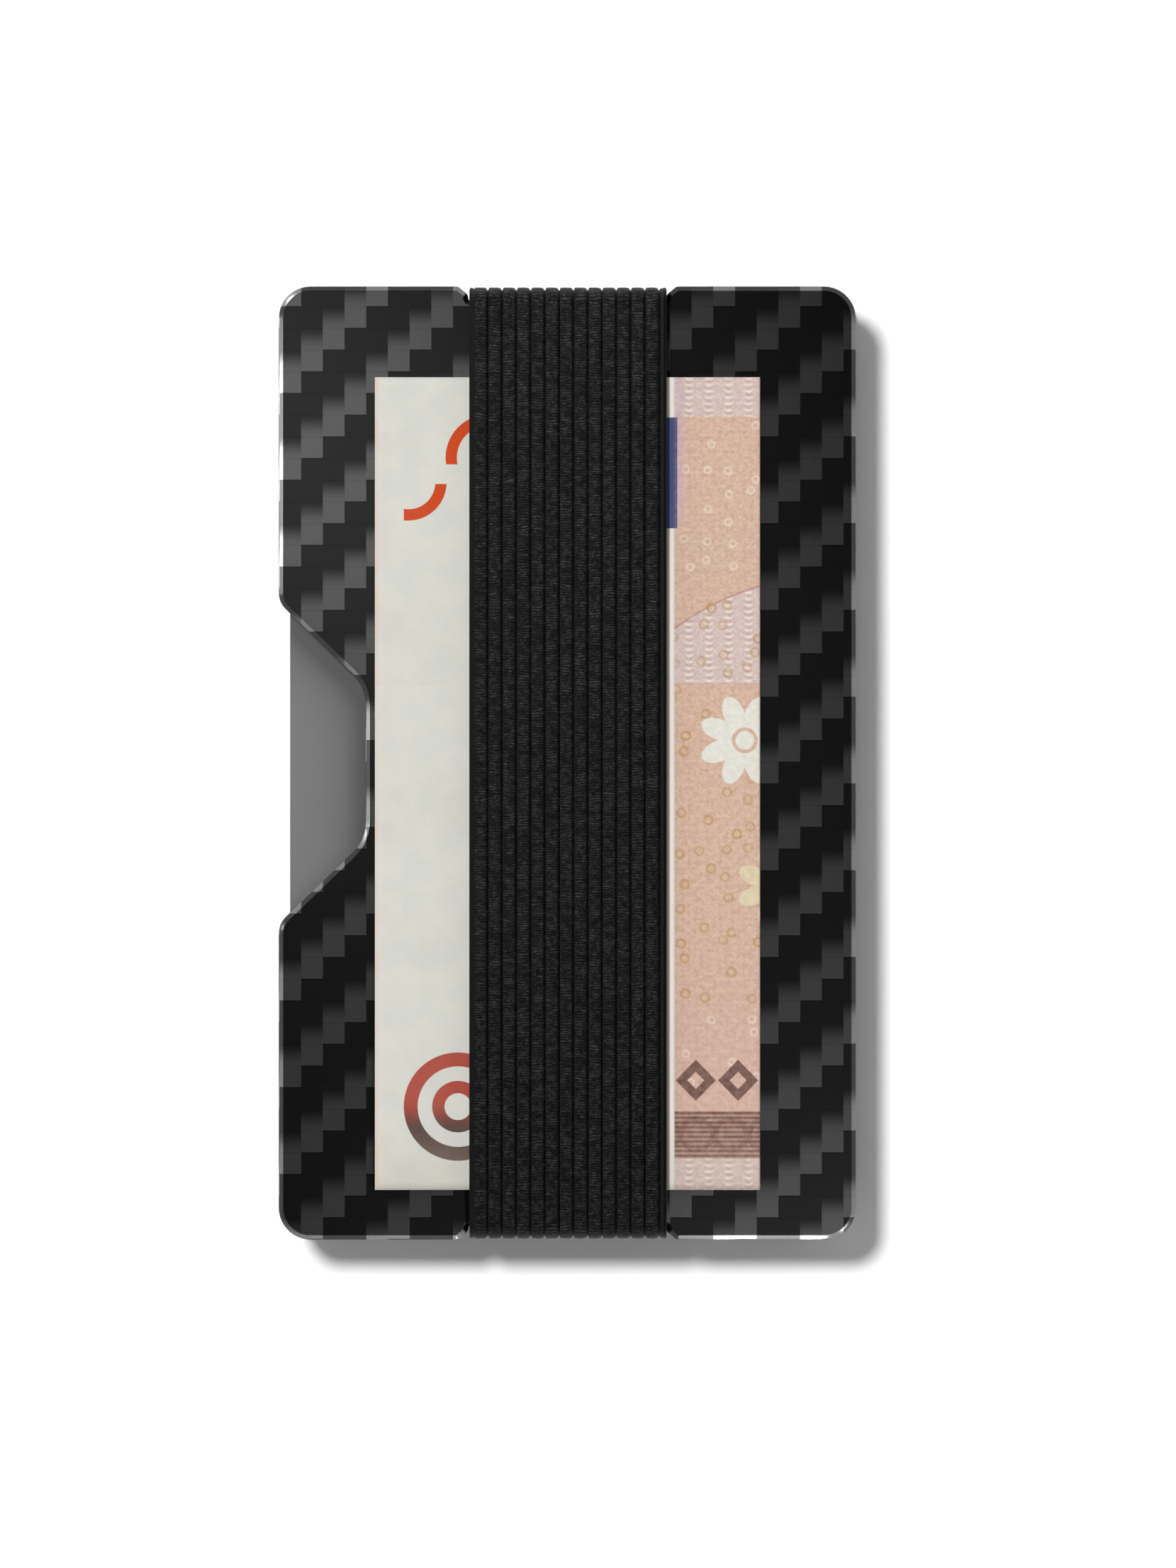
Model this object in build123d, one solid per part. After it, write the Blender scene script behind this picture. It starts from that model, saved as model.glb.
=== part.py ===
"""Minimalist plate wallet: two stiff shells held round a stack of cards by an elastic loop.

The wallet lies on its back. X runs across it, Y along it and Z up through its thickness.
Z = 0 is the underside of the cash band, which is what the wallet lies on.
All sizes are in millimetres.
"""
from build123d import *
import os

os.makedirs("parts", exist_ok=True)

# ---------------------------------------------------------------- driving dimensions
# Identity cards, size ID-1
card_length = 85.6
card_width = 53.98
card_thickness = 0.76
card_corner = 3.18
card_count = 5
card_gap = 0.06

# Outer plates
plate_width = 56.0
plate_length = 92.5
plate_thickness = 1.6
plate_corner = 3.1
plate_bevel = 0.45

# Thumb notch in the left-hand long side
thumb_mouth = 31.16
thumb_floor = 14.92
thumb_depth = 8.43
thumb_mouth_round = 2.2
thumb_floor_round = 4.2

# Cash band: a wide knitted elastic loop around the whole wallet
band_width = 19.0
band_thickness = 1.2
band_gap = 0.04
band_outer_round = 1.6
band_inner_round = 0.4
band_side_round = 0.25

# Notches that hold the band at both ends of the outer plates
band_notch_mouth = 21.2
band_notch_floor = 19.24
band_notch_shoulder = 0.82
band_notch_depth = 1.35
band_notch_round = 0.6
band_notch_floor_round = 0.2

# Track plates, with a channel for the card elastic on the side that faces the outer plate
track_thickness = 1.5
track_inset = 0.9
track_corner = 2.2
track_mouth_set_back = 0.36
track_floor_set_back = 0.45
track_notch_mouth = 23.0
track_notch_floor = 20.0
track_notch_y = 43.4
track_notch_round = 0.8
channel_width = 14.6
channel_depth = 0.9
channel_lead_in = 0.3

# Card elastic: a closed loop through both channels
elastic_width = 14.0
elastic_thickness = 0.8
elastic_clearance = 0.08
elastic_end_y = 44.25
elastic_outer_round = 0.8
elastic_inner_round = 0.3

# Countersunk screws and the threaded inserts bonded into the outer plates
screw_places = [(x, y) for x in (-23.0, 23.0) for y in (-40.0, -21.5, 21.5, 40.0)]
screw_thread = 1.6
screw_length = 2.5
screw_head = 3.0
screw_head_depth = 0.8
screw_head_rim = 0.12
screw_sink = 0.05
screw_tip = 0.15
screw_recess = 0.5
recess_middle = 0.52
recess_lobe = 0.17
recess_lobe_at = 0.5
screw_clearance = 0.1
insert_diameter = 2.6
insert_length = 1.2
insert_groove = 0.15
insert_thread_clearance = 0.02

# Folded banknote under the band
note_width = 37.35
note_length = 78.76
note_centre_x = 0.03
note_centre_y = -1.99
note_thickness = 0.48
note_gap = 0.02
note_fold_round = 0.2

# Where the band climbs onto the note and comes down again
ramp_bottom_start = -44.2
ramp_bottom_end = -41.6
ramp_top_start = 37.7
ramp_top_end = 44.2
ramp_round = 2.0

# Zigzag seams that close both loops
thread_diameter = 0.24
seam_recess = 0.3
seam_length = 3.4
seam_pitch = 1.1
thread_bend = 0.35

# Contact plates of the payment cards
chip_cards = (2, 4, 5)
chip_length = 13.0
chip_width = 11.8
chip_thickness = 0.2
chip_corner = 1.6
chip_from_card_end = 16.2
chip_from_card_side = 24.0
chip_seat_gap = 0.01

# ---------------------------------------------------------------- heights
rear_plate_z = band_thickness + band_gap
rear_track_z = rear_plate_z + plate_thickness
pocket_z = rear_track_z + track_thickness
pocket_height = card_count * card_thickness + (card_count + 1) * card_gap
front_track_z = pocket_z + pocket_height
front_plate_z = front_track_z + track_thickness
front_face_z = front_plate_z + plate_thickness
note_z = front_face_z + note_gap
middle_z = pocket_z + pocket_height / 2

half_width = plate_width / 2
half_length = plate_length / 2
band_inner_y = half_length - band_notch_depth + band_gap
band_outer_y = band_inner_y + band_thickness
MIRROR = Plane.XY.offset(middle_z)


def save(shape, node):
    """Write one named piece to its STEP file."""
    shape.label = node
    export_step(shape, f"parts/{node}.step")


def end_notch(mouth, floor, edge_y, shoulder_y, floor_y):
    """Corner points of the notch in the far end of a plate, from right to left."""
    right = [(mouth / 2, edge_y), (floor / 2, shoulder_y), (floor / 2, floor_y)]
    return right + [(-x, y) for x, y in reversed(right)]


def plate_face(points, radii):
    """A face from the corner points of its outline and their radii."""
    return make_face(FilletPolyline(*points, radius=radii, close=True))


def shell_outline(width, length, corner, notch, notch_radii, thumb):
    """Outline of a plate: notched at both ends, with the thumb notch on the left.

    notch holds the points at the far end, right to left; thumb holds the half mouth,
    the half floor and the depth of the thumb notch.
    """
    x, y = width / 2, length / 2
    mouth, floor, depth = thumb
    far_end = [(x, y)] + notch + [(-x, y)]
    near_end = [(-x, -y)] + [(px, -py) for px, py in reversed(notch)] + [(x, -y)]
    left_side = [(-x, mouth), (-x + depth, floor), (-x + depth, -floor), (-x, -mouth)]
    end_radii = [corner] + notch_radii + [corner]
    thumb_radii = [thumb_mouth_round, thumb_floor_round, thumb_floor_round, thumb_mouth_round]
    return plate_face(far_end + left_side + near_end, end_radii + thumb_radii + end_radii)


def front_outer_plate():
    """Front laminate plate, bevelled on its outer edge, with blind seats for the inserts."""
    shoulder_y = half_length - band_notch_shoulder
    floor_y = half_length - band_notch_depth
    notch = end_notch(band_notch_mouth, band_notch_floor, half_length, shoulder_y, floor_y)
    radii = [band_notch_round, band_notch_round, band_notch_floor_round]
    thumb = (thumb_mouth / 2, thumb_floor / 2, thumb_depth)
    face = shell_outline(plate_width, plate_length, plate_corner, notch, radii + radii[::-1], thumb)
    plate = Pos(0, 0, front_plate_z) * extrude(face, plate_thickness)
    plate = chamfer(plate.faces().sort_by(Axis.Z)[-1].edges(), plate_bevel)
    for x, y in screw_places:
        seat = Cylinder(insert_diameter / 2, insert_length, align=(Align.CENTER, Align.CENTER, Align.MIN))
        plate -= Pos(x, y, front_plate_z) * seat
    return plate


def front_track():
    """Front track plate: elastic channel on top, countersunk screw holes from below."""
    width = plate_width - 2 * track_inset
    length = plate_length - 2 * track_inset
    edge_y = length / 2
    notch = [
        (track_notch_mouth / 2, edge_y),
        (track_notch_floor / 2, track_notch_y),
        (-track_notch_floor / 2, track_notch_y),
        (-track_notch_mouth / 2, edge_y),
    ]
    thumb = (thumb_mouth / 2 + track_mouth_set_back, thumb_floor / 2 + track_floor_set_back, thumb_depth)
    face = shell_outline(width, length, track_corner, notch, [track_notch_round] * 4, thumb)
    plate = Pos(0, 0, front_track_z) * extrude(face, track_thickness)
    channel_z = front_plate_z - channel_depth
    plate -= Pos(0, 0, channel_z) * Box(
        channel_width, plate_length, channel_depth, align=(Align.CENTER, Align.CENTER, Align.MIN)
    )
    for end in (-1, 1):
        lead_in = Box(channel_width, channel_lead_in * 2**0.5, channel_lead_in * 2**0.5)
        plate -= Pos(0, end * track_notch_y, channel_z) * Rot(45, 0, 0) * lead_in
    for x, y in screw_places:
        plate -= Pos(x, y, front_track_z) * countersink()
    return plate


def countersink():
    """The space that a screw needs in a track plate, rising from its card side."""
    bore = Cylinder(
        (screw_thread + 2 * screw_clearance) / 2,
        track_thickness,
        align=(Align.CENTER, Align.CENTER, Align.MIN),
    )
    side = [
        (0, 0),
        (screw_head / 2 + screw_clearance, 0),
        (screw_head / 2 + screw_clearance, screw_sink + screw_head_rim),
        (screw_thread / 2 + screw_clearance, screw_sink + screw_head_depth),
        (0, screw_sink + screw_head_depth),
    ]
    cone = revolve(make_face(Plane.XZ * Polyline(*side, close=True)), Axis.Z)
    return bore + cone


def front_insert(x, y):
    """A threaded insert with two grip grooves, seated in the front plate."""
    outer, inner = insert_diameter / 2, screw_thread / 2
    step = insert_length / 5
    side = [
        (inner, 0),
        (outer, 0),
        (outer, step),
        (outer - insert_groove, step),
        (outer - insert_groove, 2 * step),
        (outer, 2 * step),
        (outer, 3 * step),
        (outer - insert_groove, 3 * step),
        (outer - insert_groove, 4 * step),
        (outer, 4 * step),
        (outer, insert_length),
        (inner, insert_length),
    ]
    body = revolve(make_face(Plane.XZ * Polyline(*side, close=True)), Axis.Z)
    return Pos(x, y, front_plate_z) * body


def front_screw(x, y):
    """A countersunk screw with a six-lobe recess, driven upwards into its insert."""
    shank = screw_thread / 2 - insert_thread_clearance
    side = [
        (0, 0),
        (screw_head / 2, 0),
        (screw_head / 2, screw_head_rim),
        (shank, screw_head_depth),
        (shank, screw_length - screw_tip),
        (shank - screw_tip, screw_length),
        (0, screw_length),
    ]
    body = revolve(make_face(Plane.XZ * Polyline(*side, close=True)), Axis.Z)
    recess = Circle(recess_middle) + PolarLocations(recess_lobe_at, 6) * Circle(recess_lobe)
    body -= extrude(recess, screw_recess)
    return Pos(x, y, front_track_z + screw_sink) * body


def loop_band(width, inner, outer, inner_radii, outer_radii):
    """A closed elastic loop from the corner points of its inner and outer outlines."""
    ring = make_face(Plane.YZ * FilletPolyline(*outer, radius=outer_radii, close=True))
    ring -= make_face(Plane.YZ * FilletPolyline(*inner, radius=inner_radii, close=True))
    return extrude(ring, width / 2, both=True)


def cash_band_solid():
    """The cash band: flat underneath, lifted over the banknote on top."""
    low, high = front_face_z + band_gap, note_z + note_thickness + note_gap
    over_note = [
        (ramp_top_end, low),
        (ramp_top_start, high),
        (ramp_bottom_end, high),
        (ramp_bottom_start, low),
    ]
    inner = [(-band_inner_y, band_thickness), (band_inner_y, band_thickness), (band_inner_y, low)]
    inner += over_note + [(-band_inner_y, low)]
    top = low + band_thickness
    outer = [(-band_outer_y, 0), (band_outer_y, 0), (band_outer_y, top)]
    outer += [(y, z + band_thickness) for y, z in over_note] + [(-band_outer_y, top)]
    inner_radii = [band_inner_round] * 3 + [ramp_round] * 4 + [band_inner_round]
    outer_radii = [band_outer_round] * 3 + [ramp_round] * 4 + [band_outer_round]
    return loop_band(band_width, inner, outer, inner_radii, outer_radii)


def card_elastic_solid():
    """The card elastic: a plain loop through the channels of both track plates."""
    bottom = rear_track_z + elastic_clearance
    top = front_plate_z - elastic_clearance
    thick = elastic_thickness
    outer = [(-elastic_end_y, bottom), (elastic_end_y, bottom), (elastic_end_y, top), (-elastic_end_y, top)]
    inner_y = elastic_end_y - thick
    inner = [
        (-inner_y, bottom + thick),
        (inner_y, bottom + thick),
        (inner_y, top - thick),
        (-inner_y, top - thick),
    ]
    return loop_band(elastic_width, inner, outer, [elastic_inner_round] * 4, [elastic_outer_round] * 4)


def seam(width, face_z):
    """The recess that a seam presses into a loop's underside, and its zigzag of thread."""
    recess = Pos(0, 0, face_z) * Box(
        width, seam_length, seam_recess, align=(Align.CENTER, Align.CENTER, Align.MIN)
    )
    stitches = int((width - 2 * thread_diameter) // seam_pitch)
    start = -stitches * seam_pitch / 2
    swing = seam_length / 2 - 2 * thread_diameter
    height = face_z + seam_recess - thread_diameter / 2
    points = [
        (start + i * seam_pitch, swing * (-1) ** i, height) for i in range(stitches + 1)
    ]
    route = FilletPolyline(*points, radius=thread_bend)
    first = route.position_at(0)
    thread = sweep(Plane(origin=first, z_dir=route.tangent_at(0)) * Circle(thread_diameter / 2), route)
    return recess, thread


def card_blank():
    """One card, long side along Y, on the plane Z = 0."""
    return extrude(RectangleRounded(card_width, card_length, card_corner), card_thickness)


def card_with_chip():
    """A payment card with the seat for its contact plate, and the plate itself."""
    x = card_width / 2 - chip_from_card_side
    y = card_length / 2 - chip_from_card_end
    plate = extrude(RectangleRounded(chip_width, chip_length, chip_corner), chip_thickness)
    seat_outline = RectangleRounded(
        chip_width + 2 * chip_seat_gap, chip_length + 2 * chip_seat_gap, chip_corner + chip_seat_gap
    )
    seat_z = card_thickness - chip_thickness
    seat = Pos(x, y, seat_z) * extrude(seat_outline, chip_thickness)
    return card_blank() - seat, Pos(x, y, seat_z) * plate


def banknote_solid():
    """The folded banknote as one closed solid, rounded along its two folds."""
    packet = Box(note_width, note_length, note_thickness, align=(Align.CENTER, Align.CENTER, Align.MIN))
    folds = packet.edges().filter_by(Axis.Y)
    return Pos(note_centre_x, note_centre_y, note_z) * fillet(folds, note_fold_round)


def shells():
    """Both shells: the rear one mirrors the front one about the middle of the pocket."""
    pieces = {
        "plate": front_outer_plate(),
        "track_plate": front_track(),
        "inserts": Compound(children=[front_insert(x, y) for x, y in screw_places]),
        "screws": Compound(children=[front_screw(x, y) for x, y in screw_places]),
    }
    for name, piece in pieces.items():
        save(piece, f"front_{name}")
        if isinstance(piece, Compound) and len(piece.solids()) > 1:
            rear = Compound(children=[solid.mirror(MIRROR) for solid in piece.solids()])
        else:
            rear = piece.mirror(MIRROR)
        save(rear, f"rear_{name}")


def loops():
    """The cash band, the card elastic and the seams that close them."""
    recess, thread = seam(band_width, 0)
    save(cash_band_solid() - recess, "cash_band")
    save(thread, "band_seam_thread")
    recess, thread = seam(elastic_width, rear_track_z + elastic_clearance)
    save(card_elastic_solid() - recess, "card_elastic")
    save(thread, "elastic_seam_thread")


def cards():
    """The stack of cards, lowest first."""
    for number in range(1, card_count + 1):
        z = pocket_z + card_gap + (number - 1) * (card_thickness + card_gap)
        if number in chip_cards:
            card, chip = card_with_chip()
            save(Pos(0, 0, z) * chip, f"card_{number}_chip")
        else:
            card = card_blank()
        save(Pos(0, 0, z) * card, f"card_{number}")


shells()
loops()
cards()
save(banknote_solid(), "banknote")
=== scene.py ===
"""Looks of a minimalist plate wallet: two laminate shells, elastic loops, cards and a note.

Every length is in metres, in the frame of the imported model, unless its name ends in _mm.
Inside the finishes, places on a surface are in millimetres.
"""
import logging
import math
from collections.abc import Sequence
from dataclasses import dataclass, field
from enum import Enum
from functools import cache

import bpy
import numpy as np
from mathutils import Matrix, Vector


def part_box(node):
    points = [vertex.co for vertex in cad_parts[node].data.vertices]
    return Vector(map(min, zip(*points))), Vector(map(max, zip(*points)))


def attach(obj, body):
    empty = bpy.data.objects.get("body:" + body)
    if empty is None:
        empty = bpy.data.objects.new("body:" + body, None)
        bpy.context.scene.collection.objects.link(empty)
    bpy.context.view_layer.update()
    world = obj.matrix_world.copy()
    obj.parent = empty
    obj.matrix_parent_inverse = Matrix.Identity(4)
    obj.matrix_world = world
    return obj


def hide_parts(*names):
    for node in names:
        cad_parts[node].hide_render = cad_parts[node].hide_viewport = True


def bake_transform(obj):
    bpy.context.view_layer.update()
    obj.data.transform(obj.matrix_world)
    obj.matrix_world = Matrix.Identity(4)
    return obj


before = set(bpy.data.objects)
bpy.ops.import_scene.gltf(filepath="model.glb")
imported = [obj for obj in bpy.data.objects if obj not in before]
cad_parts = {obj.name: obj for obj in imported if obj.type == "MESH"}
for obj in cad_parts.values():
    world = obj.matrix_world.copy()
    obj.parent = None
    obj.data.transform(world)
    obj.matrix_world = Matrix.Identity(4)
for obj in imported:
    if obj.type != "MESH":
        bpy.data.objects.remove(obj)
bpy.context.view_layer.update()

MM = 0.001
LOG = logging.getLogger("wallet")

Colour = tuple[float, float, float, float]


def ink(red: int, green: int, blue: int, strength: float = 1.0) -> Colour:
    """A screen colour from 0 to 255 as a linear one.

    Args:
        red, green, blue: the screen colour.
        strength: what the linear colour is multiplied by.

    Returns:
        The linear colour, with an alpha of 1.
    """
    shares = (red / 255, green / 255, blue / 255)
    linear = [c / 12.92 if c <= 0.04045 else ((c + 0.055) / 1.055) ** 2.4 for c in shares]
    return (linear[0] * strength, linear[1] * strength, linear[2] * strength, 1.0)


# ---------------------------------------------------------------------------- shader tools


class Signal:
    """A value that varies over a surface; arithmetic on it adds the nodes that work it out."""

    def __init__(self, tree: "ShaderTree", socket: bpy.types.NodeSocket) -> None:
        """Keep the tree, and the node output that carries the value."""
        self.tree = tree
        self.socket = socket

    def __add__(self, other: "Number") -> "Signal":
        """Sum."""
        return self.tree.math("ADD", self, other)

    def __sub__(self, other: "Number") -> "Signal":
        """Difference."""
        return self.tree.math("SUBTRACT", self, other)

    def __rsub__(self, other: "Number") -> "Signal":
        """A plain number less this value."""
        return self.tree.math("SUBTRACT", other, self)

    def __mul__(self, other: "Number") -> "Signal":
        """Product."""
        return self.tree.math("MULTIPLY", self, other)

    def __truediv__(self, other: "Number") -> "Signal":
        """Quotient."""
        return self.tree.math("DIVIDE", self, other)

    def __mod__(self, other: "Number") -> "Signal":
        """Remainder, never negative."""
        return self.tree.math("FLOORED_MODULO", self, other)

    def __lt__(self, other: "Number") -> "Signal":
        """1 where this is less than other."""
        return self.tree.math("LESS_THAN", self, other)

    def __gt__(self, other: "Number") -> "Signal":
        """1 where this is more than other."""
        return self.tree.math("GREATER_THAN", self, other)

    def __abs__(self) -> "Signal":
        """Size without sign."""
        return self.tree.math("ABSOLUTE", self)

    __radd__ = __add__
    __rmul__ = __mul__

    def floor(self) -> "Signal":
        """The whole number below."""
        return self.tree.math("FLOOR", self)

    def fraction(self) -> "Signal":
        """What is left above the whole number below."""
        return self.tree.math("FRACT", self)

    def sine(self) -> "Signal":
        """Sine of the value in radians."""
        return self.tree.math("SINE", self)

    def most(self, other: "Number") -> "Signal":
        """The larger of the two."""
        return self.tree.math("MAXIMUM", self, other)

    def smooth(self, low: float, high: float) -> "Signal":
        """A smooth step.

        Args:
            low: where it starts to rise from 0.
            high: where it reaches 1.

        Returns:
            The step, from 0 to 1.
        """
        ends = {"Value": self, "From Min": low, "From Max": high}
        node = self.tree.add("MapRange", ends, interpolation_type="SMOOTHSTEP")
        return Signal(self.tree, node.outputs["Result"])

    def inside(self, low: float, high: float, soft: float = 0.04) -> "Signal":
        """1 between low and high, with soft edges."""
        return self.smooth(low - soft, low + soft) * (1 - self.smooth(high - soft, high + soft))


Number = float | Signal


class ShaderTree:
    """A material's node tree, with a short call for each kind of node that the finishes share."""

    def __init__(self, name: str) -> None:
        """Start an empty material.

        Args:
            name: the material's name.
        """
        self.material = bpy.data.materials.new(name)
        self.material.use_nodes = True
        self.nodes = self.material.node_tree.nodes
        self.links = self.material.node_tree.links
        self.nodes.clear()

    def add(self, kind: str, inputs: dict[str | int, object], **settings: object) -> bpy.types.Node:
        """Add a node.

        Args:
            kind: the node's type without its ShaderNode prefix.
            inputs: a signal or a value for each named or numbered input.
            settings: the node's own properties.

        Returns:
            The new node.
        """
        node = self.nodes.new("ShaderNode" + kind)
        for key, value in settings.items():
            setattr(node, key, value)
        for key, value in inputs.items():
            if isinstance(value, Signal):
                self.links.new(value.socket, node.inputs[key])
            else:
                node.inputs[key].default_value = value
        return node

    def math(self, operation: str, *values: Number) -> Signal:
        """One sum of a Math node."""
        node = self.add("Math", dict(enumerate(values)), operation=operation)
        return Signal(self, node.outputs[0])

    def split(self, socket: bpy.types.NodeSocket) -> tuple[Signal, Signal, Signal]:
        """The three parts of a vector.

        Args:
            socket: the node output that carries the vector.

        Returns:
            Its x, y and z.
        """
        node = self.add("SeparateXYZ", {0: Signal(self, socket)})
        return tuple(Signal(self, output) for output in node.outputs)

    def place_mm(self) -> tuple[Signal, Signal, Signal]:
        """The place on the object.

        Returns:
            X, Y and Z, in millimetres.
        """
        x, y, z = self.split(self.nodes.new("ShaderNodeTexCoord").outputs["Object"])
        return x / MM, y / MM, z / MM

    def unrolled_mm(self) -> tuple[Signal, Signal]:
        """The place on an unrolled strip or sheet, from its UV map.

        Returns:
            How far across and how far along, in millimetres.
        """
        across, along, _ = self.split(self.add("UVMap", {}, uv_map="unrolled").outputs[0])
        return across, along

    def facing(self) -> tuple[Signal, Signal, Signal]:
        """The surface's own direction."""
        return self.split(self.nodes.new("ShaderNodeNewGeometry").outputs["Normal"])

    def vector(self, x: Number, y: Number, z: Number = 0.0) -> Signal:
        """Three values as one vector."""
        return Signal(self, self.add("CombineXYZ", {0: x, 1: y, 2: z}).outputs[0])

    def noise(self, x: Number, y: Number, z: Number = 0.0, detail: float = 2.0) -> Signal:
        """Cloudy noise with a grain of about 1 in x, y and z.

        Args:
            x, y, z: the place in the noise.
            detail: how many finer layers it has.

        Returns:
            The noise, from 0 to 1.
        """
        node = self.add("TexNoise", {"Vector": self.vector(x, y, z), "Scale": 1.0, "Detail": detail})
        return Signal(self, node.outputs[0])

    def scatter(self, x: Number, y: Number, spread: float = 1.0) -> tuple[Signal, Signal]:
        """Scattered spots about 1 apart.

        Args:
            x, y: the place among the spots.
            spread: how far they leave a square grid, from 0 to 1.

        Returns:
            The distance to the nearest spot, and that spot's own random value.
        """
        inputs = {"Vector": self.vector(x, y), "Scale": 1.0, "Randomness": spread}
        node = self.add("TexVoronoi", inputs, voronoi_dimensions="2D")
        return Signal(self, node.outputs["Distance"]), self.split(node.outputs["Color"])[0]

    def distance(self, x: Signal, y: Signal, centre: tuple[float, float]) -> Signal:
        """How far a place is from a centre."""
        return self.math("SQRT", (x - centre[0]) * (x - centre[0]) + (y - centre[1]) * (y - centre[1]))

    def mix(self, share: Number, first: object, second: object) -> Signal:
        """A blend of two colours.

        Args:
            share: how much of the second there is, from 0 to 1.
            first: a colour, or a signal that carries one.
            second: the same.

        Returns:
            The blended colour.
        """
        node = self.add("Mix", {"Factor": share}, data_type="RGBA")
        for socket, value in zip((node.inputs[6], node.inputs[7]), (first, second)):
            if isinstance(value, Signal):
                self.links.new(value.socket, socket)
            else:
                socket.default_value = value
        return Signal(self, node.outputs[2])

    def grey(self, value: Signal) -> Signal:
        """A plain value as a grey colour."""
        node = self.add("CombineColor", {0: value, 1: value, 2: value})
        return Signal(self, node.outputs[0])

    def bump(self, height: Signal, depth_mm: float) -> Signal:
        """Fine relief in the surface.

        Args:
            height: the relief, from 0 to 1.
            depth_mm: how deep that is.

        Returns:
            The normal that shows it.
        """
        node = self.add("Bump", {"Height": height, "Distance": depth_mm * MM, "Strength": 1.0})
        return Signal(self, node.outputs[0])

    def finish(self, inputs: dict[str, object]) -> bpy.types.Material:
        """Close the tree with one principled surface.

        Args:
            inputs: a signal or a value for each of its named inputs.

        Returns:
            The finished material.
        """
        surface = self.add("BsdfPrincipled", inputs)
        self.add("OutputMaterial", {"Surface": Signal(self, surface.outputs[0])})
        return self.material


# -------------------------------------------------------------------------------- finishes


class Finish:
    """A surface finish. material() makes it once and then returns the same one."""

    name: str

    @cache
    def material(self) -> bpy.types.Material:
        """The finish's material, made the first time it is asked for."""
        return self.make()

    def make(self) -> bpy.types.Material:
        """Build the material."""
        raise NotImplementedError


@dataclass(frozen=True)
class CarbonTwill(Finish):
    """2/2 twill carbon laminate under clear resin, with its plies showing on cut edges."""

    name: str = "carbon_twill"
    cell_mm: float = 2.104
    first_column_mm: float = -25.81
    first_row_mm: float = 44.32
    repeat: int = 4
    # The step from weft_shade up to warp_shade is painted sheen: both floats are the same black fibre.
    warp_shade: float = 0.148
    weft_shade: float = 0.031
    # How dark the painted crimp shadow along the top of each row of cells is.
    crimp_shadow_depth: float = 0.16
    grain: float = 0.16
    ply_mm: float = 0.2
    ply_shade: float = 0.05
    roughness: float = 0.38
    relief_mm: float = 0.004

    def make(self) -> bpy.types.Material:
        """Warp floats are painted brighter than weft floats and brighten along their first cell, both as
        painted sheen; weft floats stay dark and even.

        Returns:
            The finished material.
        """
        tree = ShaderTree(self.name)
        x, y, z = tree.place_mm()
        across = (x - self.first_column_mm) / self.cell_mm
        down = (self.first_row_mm - y) / self.cell_mm
        along_warp = (down + across.floor() - 1) % self.repeat
        along_weft = (across + down.floor() - 1) % self.repeat
        on_warp = along_warp < 2
        # Painted sheen: each warp float is painted brighter along its first cell, for the light it
        # catches.
        rise = along_warp.smooth(0.02, 1.05)
        warp_fibres = tree.noise(x * 9.0, y * 0.9, detail=1.0)
        weft_fibres = tree.noise(x * 0.9, y * 9.0, detail=1.0)
        fibres = warp_fibres * on_warp + weft_fibres * (1 - on_warp)
        # Painted shadow: a dark line along the top of each row of cells, where the crossing tow shades
        # the float.
        painted_crimp_shadow = 1 - (1 - down.fraction().smooth(0.0, 0.10)) * self.crimp_shadow_depth
        # Warp floats are painted brighter than weft floats: painted sheen in place of the tows'
        # directional reflection, laid over the real weave pattern.
        shade = self.weft_shade + on_warp * rise * (self.warp_shade - self.weft_shade)
        shade = shade * painted_crimp_shadow * (1 - self.grain / 2 + fibres * self.grain)
        crown_warp = 1 - abs(along_warp - 1)
        crown_weft = 1 - abs(along_weft - 3)
        relief = on_warp * crown_warp + (1 - on_warp) * crown_weft * 0.5 + fibres * 0.25
        level = abs(tree.facing()[2])
        side = 1 - level.smooth(0.25, 0.45)
        chamfer = level.inside(0.5, 0.93, 0.03)
        ply = (z / self.ply_mm).fraction()
        resin = abs(ply - 0.5).smooth(0.38, 0.48)
        every_other = (z / self.ply_mm / 2).fraction() > 0.5
        ends = tree.noise(x * 7.0, y * 7.0, z * 9.0, detail=1.0)
        edge_shade = (1 + every_other + ends) * self.ply_shade - resin * 0.03
        shade = shade + side * (edge_shade - shade)
        # Chamfers are painted brighter: partly the cut fibre ends, partly a painted highlight where the
        # chamfer catches light.
        shade = shade * (1 + chamfer * (0.1 + ends * 0.3)) + chamfer * 0.008
        return tree.finish({
            "Base Color": tree.grey(shade),
            "Metallic": 1.0,
            "Roughness": self.roughness + side * 0.15 - chamfer * 0.06,
            "Normal": tree.bump(relief * (1 - chamfer), self.relief_mm),
            "Coat Weight": (1 - side.most(chamfer)) * 0.10,
            "Coat Roughness": 0.30,
            "Coat IOR": 1.5,
        })


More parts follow.
